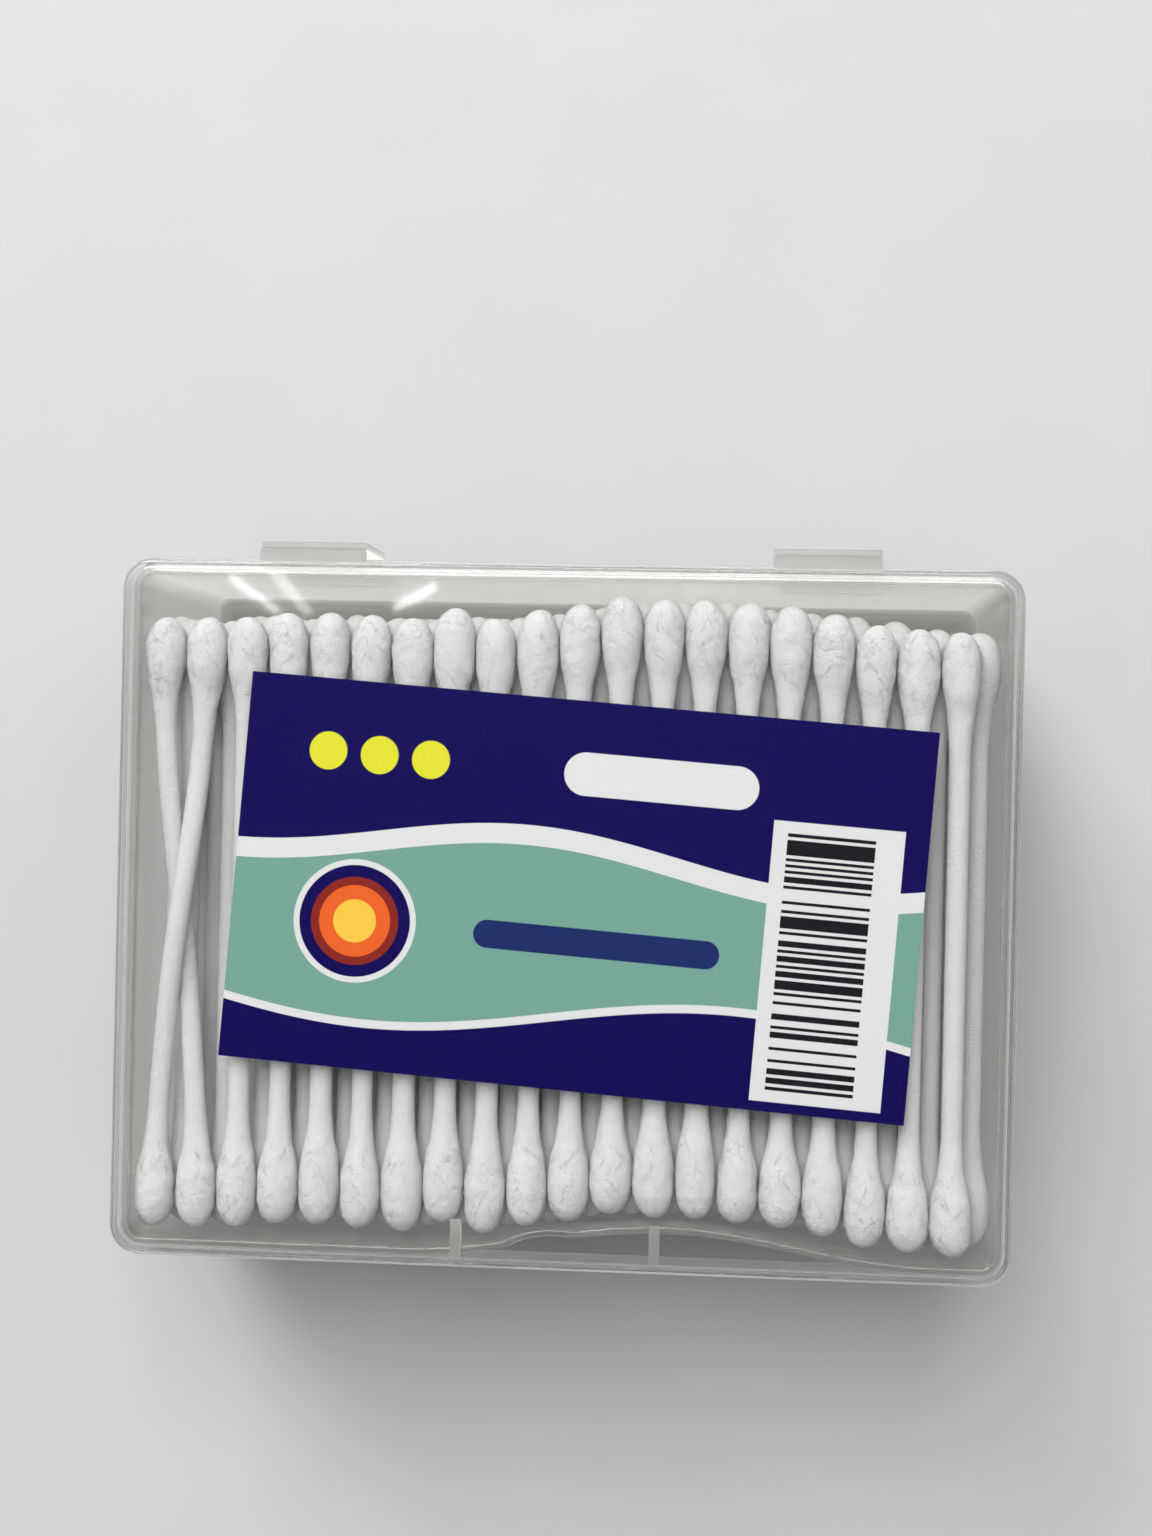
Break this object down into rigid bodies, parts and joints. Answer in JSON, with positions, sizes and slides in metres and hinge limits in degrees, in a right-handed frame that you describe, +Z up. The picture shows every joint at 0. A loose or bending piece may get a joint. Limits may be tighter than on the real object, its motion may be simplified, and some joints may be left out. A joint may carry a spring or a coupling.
{
  "type": "cotton swab box",
  "caption": "Clear hinged plastic box packed with rows of cotton swabs under a loose printed card; the lid folds back on two moulded straps.",
  "frame": {"origin": "middle of the tray's flat underside", "axes": "+Z up through the lid, +X along the long side, +Y towards the hinge straps at the back"},
  "size_m": [0.107, 0.0856, 0.044],
  "materials": {
    "clear_plastic": "moulded polypropylene, see-through and slightly milky",
    "printed_card": "printed white board in dark blue and sea green",
    "cotton": "wound white cotton on white sticks"
  },
  "bodies": {
    "base": {"tray": "clear_plastic", "label_card": "printed_card", "swab_01": "cotton", "swab_02": "cotton", "swab_03": "cotton", "swab_04": "cotton", "swab_05": "cotton", "swab_06": "cotton", "swab_07": "cotton", "swab_08": "cotton", "swab_09": "cotton", "swab_10": "cotton", "swab_11": "cotton", "swab_12": "cotton", "swab_13": "cotton", "swab_14": "cotton", "swab_15": "cotton", "swab_16": "cotton", "swab_17": "cotton", "swab_18": "cotton", "swab_19": "cotton", "swab_20": "cotton", "swab_row_02": "cotton", "swab_row_03": "cotton", "swab_row_04": "cotton", "swab_row_05": "cotton", "swab_row_06": "cotton", "swab_row_07": "cotton", "swab_row_08": "cotton", "swab_row_09": "cotton", "swab_row_10": "cotton"},
    "hinge_straps": {"hinge_strap_left": "clear_plastic", "hinge_strap_right": "clear_plastic"},
    "lid": {"lid": "clear_plastic"}
  },
  "joints": [
    {"name": "strap_fold", "type": "hinge", "parent": "base", "child": "hinge_straps", "pos_m": [0, 0.04295, 0.0299], "axis": [-1, 0, 0], "range_deg": [0, 90]},
    {"name": "lid_fold", "type": "hinge", "parent": "hinge_straps", "child": "lid", "pos_m": [0, 0.04295, 0.0431], "axis": [-1, 0, 0], "range_deg": [0, 90]}
  ],
  "couplings": [
    {"joint": "strap_fold", "follows": "lid_fold", "ratio": 1}
  ]
}
